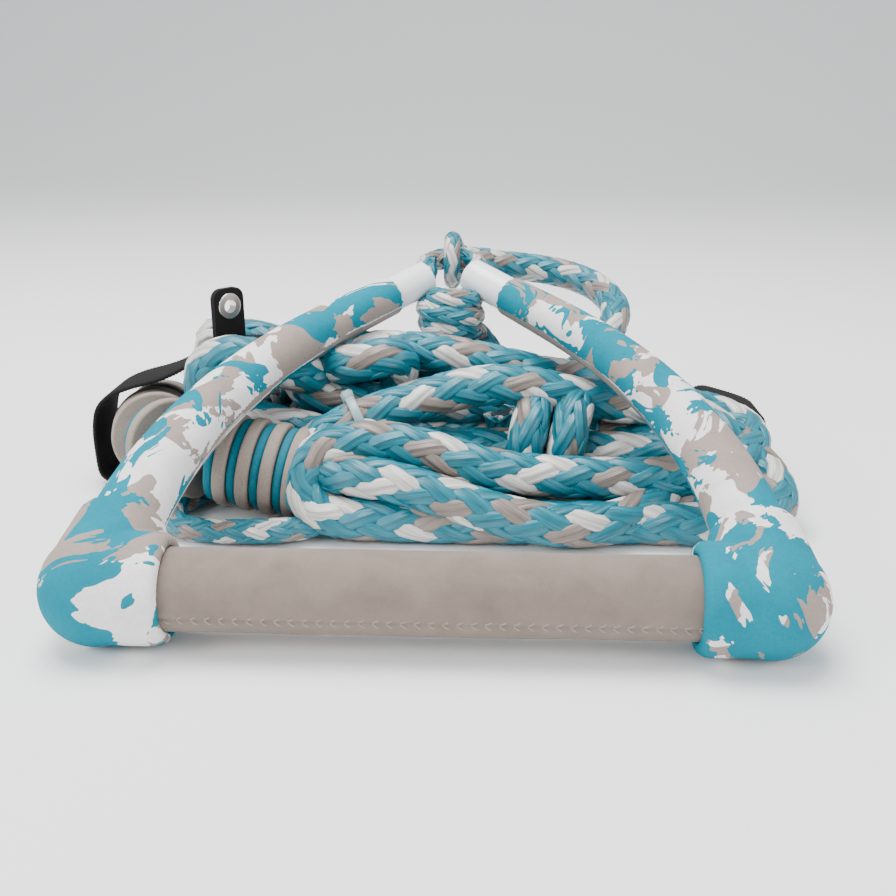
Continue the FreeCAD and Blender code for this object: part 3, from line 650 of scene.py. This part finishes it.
def stitch_nodes():
    """Geometry Nodes that set a pair of slanted stitches at even steps along a line."""
    group = bpy.data.node_groups.new("stitches", "GeometryNodeTree")
    group.interface.new_socket("Geometry", in_out="INPUT", socket_type="NodeSocketGeometry")
    for name, value in (("Pitch", 0.0052), ("Reach", 0.0026), ("Lean", 0.0032), ("Thread", 0.00045),
                        ("Turn", 0.0)):
        socket = group.interface.new_socket(name, in_out="INPUT", socket_type="NodeSocketFloat")
        socket.default_value = value
    group.interface.new_socket("Geometry", in_out="OUTPUT", socket_type="NodeSocketGeometry")
    tree = Tree(group)
    entry = group.nodes.new("NodeGroupInput")
    given = {socket.name: Value(tree, socket) for socket in entry.outputs if socket.name}
    spots = tree.add("GeometryNodeCurveToPoints", {"mode": "LENGTH"},
                     {"Curve": given["Geometry"], "Length": given["Pitch"]})
    ring = tree.add("GeometryNodeCurvePrimitiveCircle", inputs={"Resolution": 6, "Radius": given["Thread"]})
    pair = group.nodes.new("GeometryNodeJoinGeometry")
    for way in (-1.0, 1.0):
        foot, crown, head = (
            tree.add("ShaderNodeCombineXYZ", inputs={"X": x, "Y": y, "Z": z})
            for x, y, z in ((0.0, way * FEET_APART, STITCH_SUNK),
                            (given["Lean"] * 0.5, given["Reach"] * (way * 0.5), STITCH_ARCH),
                            (given["Lean"], given["Reach"] * way, STITCH_SUNK)))
        arch = tree.add("GeometryNodeCurveQuadraticBezier", inputs={
            "Resolution": 7, "Start": foot, "Middle": crown, "End": head})
        stitch = tree.add("GeometryNodeCurveToMesh", inputs={
            "Curve": arch, "Profile Curve": ring, "Fill Caps": True})
        group.links.new(stitch.socket, pair.inputs[0])
    turn = tree.add("ShaderNodeCombineXYZ", inputs={"X": given["Turn"]})
    sewn = tree.add("GeometryNodeInstanceOnPoints", inputs={
        "Points": spots, "Instance": Value(tree, pair.outputs[0]), "Rotation": turn})
    real = tree.add("GeometryNodeRealizeInstances", inputs={"Geometry": sewn})
    smooth = tree.add("GeometryNodeSetShadeSmooth", inputs={"Geometry": real})
    last = tree.add("GeometryNodeSetMaterial", inputs={"Geometry": smooth, "Material": thread})
    group.links.new(last.socket, group.nodes.new("NodeGroupOutput").inputs[0])
    return group


stitches = stitch_nodes()


def sew(name, points, body, slot, **sizes):
    """Stitches along a line of given points."""
    route = route_of(name, points)
    modifier = route.modifiers.new("stitches", "NODES")
    modifier.node_group = stitches
    set_inputs(modifier, **sizes)
    seam = shaped(route, name)
    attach(seam, body)
    return seam


SEAM_RADIUS, SEAM_HALF = COVER_RADIUS - 0.2, 101
seam_y, seam_z = -SEAM_RADIUS * cos(SEAM_TURN), AXIS_HEIGHT + SEAM_RADIUS * sin(SEAM_TURN)
sew("grip_stitches", [(x, seam_y, seam_z) for x in (-SEAM_HALF, 0, SEAM_HALF)], "handle", "suede",
    Turn=pi / 2 - SEAM_TURN)

bar_metal = plain_material("bar_aluminium", Base_Color=(0.7, 0.71, 0.73, 1), Metallic=1.0, Roughness=0.35)
hidden_foam = plain_material("grip_foam", Base_Color=(0.05, 0.05, 0.055, 1), Roughness=0.9)
nylon = plain_material("nylon", Base_Color=(0.04, 0.04, 0.045, 1), Roughness=0.5)
for name, material in (("bar_tube", bar_metal), ("grip_foam", hidden_foam), ("bar_plug_left", nylon),
                       ("bar_plug_right", nylon)):
    finish_with(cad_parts[name], material)

# ---------------------------------------------------------------------------------------------
# The keeper straps: closed bands of black ribbed webbing round the floats and round the bundle's
# right end. The tab is a folded end of the same webbing with a nickel eyelet.
webbing, tree = new_material("webbing", Base_Color=(0.012, 0.011, 0.011, 1), Roughness=0.8,
                             Specular_IOR_Level=0.15)
weave_place = tree.add("ShaderNodeCombineXYZ", inputs={"X": tree.attribute("along") * 600.0,
                                                       "Y": tree.attribute("across") * 900.0})
twill = tree.add("ShaderNodeTexWave", {"bands_direction": "DIAGONAL"}, {
    "Vector": weave_place, "Scale": 0.5, "Distortion": 0.6}, out="Fac")
tree.feed(bump=twill, depth=0.0003, strength=0.6)


def webbing_band(name, outline, low, high, thick=1.8, rib=2.0, depth=0.3):
    """A closed band of ribbed webbing whose outline in X and Z is smooth."""
    route = route_of(name, [(x, low, z) for x, z in outline], cyclic=True)
    line = [v.co.copy() for v in evaluated_mesh(route).vertices]
    bpy.data.objects.remove(route)
    steps, carried, travelled = [], 0.0, 0.0
    for a, b in zip(line, line[1:] + line[:1]):
        run = (b - a).length
        while carried < run:
            steps.append((a.lerp(b, carried / run), travelled + carried))
            carried += rib * MM / 2
        carried -= run
        travelled += run
    middle = sum(line, Vector()) / len(line)
    wide = (high - low) * MM
    section = ((0, 0.25), (0.02, 0), (0.5, 0), (0.98, 0), (1, 0.25), (1, 0.75), (0.98, 1), (0.5, 1),
               (0.02, 1), (0, 0.75))
    points, along, across = [], [], []
    for number, (point, at) in enumerate(steps):
        ahead = (steps[(number + 1) % len(steps)][0] - steps[number - 1][0]).normalized()
        out = Vector((ahead.z, 0, -ahead.x))
        out = out if out.dot(point - middle) > 0 else -out
        for share, inside in section:
            rise = depth * MM * (number % 2) * (0.5 - inside) * 2
            points.append(point + Vector((0, share * wide, 0)) + out * (rise - inside * thick * MM))
            along.append(at)
            across.append(share * wide)
    count = len(section)
    faces = [(i * count + j, i * count + (j + 1) % count, (i + 1) % len(steps) * count + (j + 1) % count,
              (i + 1) % len(steps) * count + j) for i in range(len(steps)) for j in range(count)]
    mesh = bpy.data.meshes.new(name)
    mesh.from_pydata(points, [], faces)
    mesh.shade_smooth()
    mesh.attributes.new("along", "FLOAT", "POINT").data.foreach_set("value", along)
    mesh.attributes.new("across", "FLOAT", "POINT").data.foreach_set("value", across)
    strap = linked(name, mesh)
    finish_with(strap, webbing)
    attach(strap, "rope_bundle")
    return strap


LEFT_OUTLINE = (
    (-191, 3), (-192, 18), (-192, 34), (-188.5, 47), (-175, 55.5), (-150, 61.5), (-128, 74.5),
    (-116, 77), (-98, 77), (-78, 69), (-64, 58), (-62.5, 30), (-63, 3), (-80, 0.4), (-130, 0.4),
    (-178, 0.4))
left_strap = webbing_band("strap_left_webbing", LEFT_OUTLINE, 165, 201)
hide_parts("keeper_strap_left")
RIGHT_OUTLINE = (
    (137.5, 2), (136.5, 20), (137, 40), (143, 44), (152, 42), (170, 36.5), (176, 32), (176.4, 20),
    (176, 2), (170, 0.4), (144, 0.4))
right_strap = webbing_band("strap_right_webbing", RIGHT_OUTLINE, 197, 227)
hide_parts("keeper_strap_right")

finish_with(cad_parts["tab_webbing"], webbing)
nickel = plain_material("nickel", Base_Color=(0.72, 0.70, 0.67, 1), Metallic=1.0, Roughness=0.22)
for name in ("eyelet", "eyelet_washer"):
    finish_with(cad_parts[name], nickel)

# ---------------------------------------------------------------------------------------------
# The cable tie: a thin band of cloudy plastic drawn round one of the front turns.
tie_plastic = plain_material("tie_plastic", Base_Color=(0.55, 0.72, 0.74, 1), Roughness=0.28,
                             Transmission_Weight=0.5)
TIE_NEAR, TIE_BORE, TIE_WIDTH, TIE_THICK, TIE_STEPS = place(-46, 134, 52), 11.2, 4.6, 1.2, 64
TIE_SHOULDER = TIE_BORE + TIE_THICK * 0.7
TIE_SECTION = ((TIE_BORE, -0.5), (TIE_SHOULDER, -0.5), (TIE_BORE + TIE_THICK, -0.36),
               (TIE_BORE + TIE_THICK, 0.36), (TIE_SHOULDER, 0.5), (TIE_BORE, 0.5))
HEAD_SIZE, HEAD_AT = Vector((4.6, 6.2, 7.4)) * MM, Vector((8.6, 0, 10.2)) * MM
middle = min(range(1, len(front_line) - 1), key=lambda i: (front_line[i] - TIE_NEAR).length_squared)
tie_axis = (front_line[middle + 1] - front_line[middle - 1]).normalized()
tie_out = tie_axis.cross(Vector((0, 0, 1))).normalized()
tie_frame = Matrix((tie_out, tie_axis, tie_out.cross(tie_axis))).transposed()
work = bmesh.new()
rings = []
for number in range(TIE_STEPS):
    turn = 2 * pi * number / TIE_STEPS
    corners = [Vector((radius * cos(turn), across * TIE_WIDTH, radius * sin(turn))) * MM
               for radius, across in TIE_SECTION]
    rings.append([work.verts.new(front_line[middle] + tie_frame @ corner) for corner in corners])
for number, ring in enumerate(rings):
    after = rings[(number + 1) % TIE_STEPS]
    for corner in range(len(TIE_SECTION)):
        beside = (corner + 1) % len(TIE_SECTION)
        work.faces.new((ring[corner], ring[beside], after[beside], after[corner]))
head = bmesh.ops.create_cube(work, size=1)["verts"]
bmesh.ops.scale(work, vec=HEAD_SIZE, verts=head)
bmesh.ops.transform(work, matrix=tie_frame.to_4x4(), verts=head)
bmesh.ops.translate(work, vec=front_line[middle] + tie_frame @ HEAD_AT, verts=head)
bmesh.ops.bevel(work, geom=list({e for v in head for e in v.link_edges}), offset=0.0009, segments=3,
                affect="EDGES")
tie_mesh = bpy.data.meshes.new("cable_tie_loop")
work.to_mesh(tie_mesh)
work.free()
tie_mesh.shade_smooth()
tie = linked("cable_tie_loop", tie_mesh)
finish_with(tie, tie_plastic)
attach(tie, "rope_bundle")
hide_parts("cable_tie")
